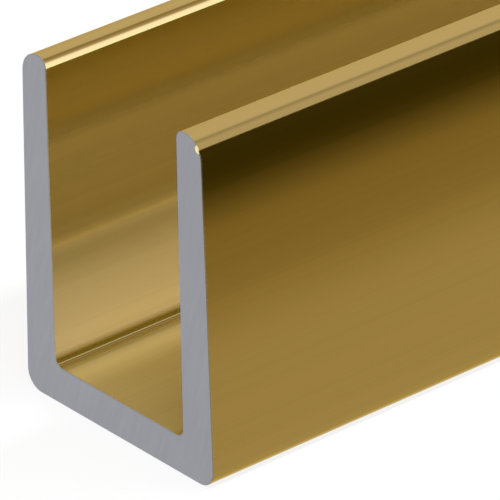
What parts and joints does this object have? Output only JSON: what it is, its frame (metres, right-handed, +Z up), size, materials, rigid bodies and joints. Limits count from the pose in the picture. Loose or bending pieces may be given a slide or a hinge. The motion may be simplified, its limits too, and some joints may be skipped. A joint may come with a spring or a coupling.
{
  "type": "aluminium u-channel profile",
  "caption": "Straight length of gold-anodised aluminium U-channel: flat floor, upright slot for a glass panel edge, tapering legs with rounded lips, and square-cut bare ends.",
  "frame": {"origin": "middle of the underside: half way along the length, on the plane that it lies on", "axes": "+Y along the length, +Z up out of the open slot, +X across the section"},
  "size_m": [0.019, 1, 0.025],
  "materials": {
    "gold_anodised_aluminium": "bright gold anodised, with bare sawn ends"
  },
  "bodies": {
    "root": {"u_channel": "gold_anodised_aluminium"}
  },
  "joints": []
}
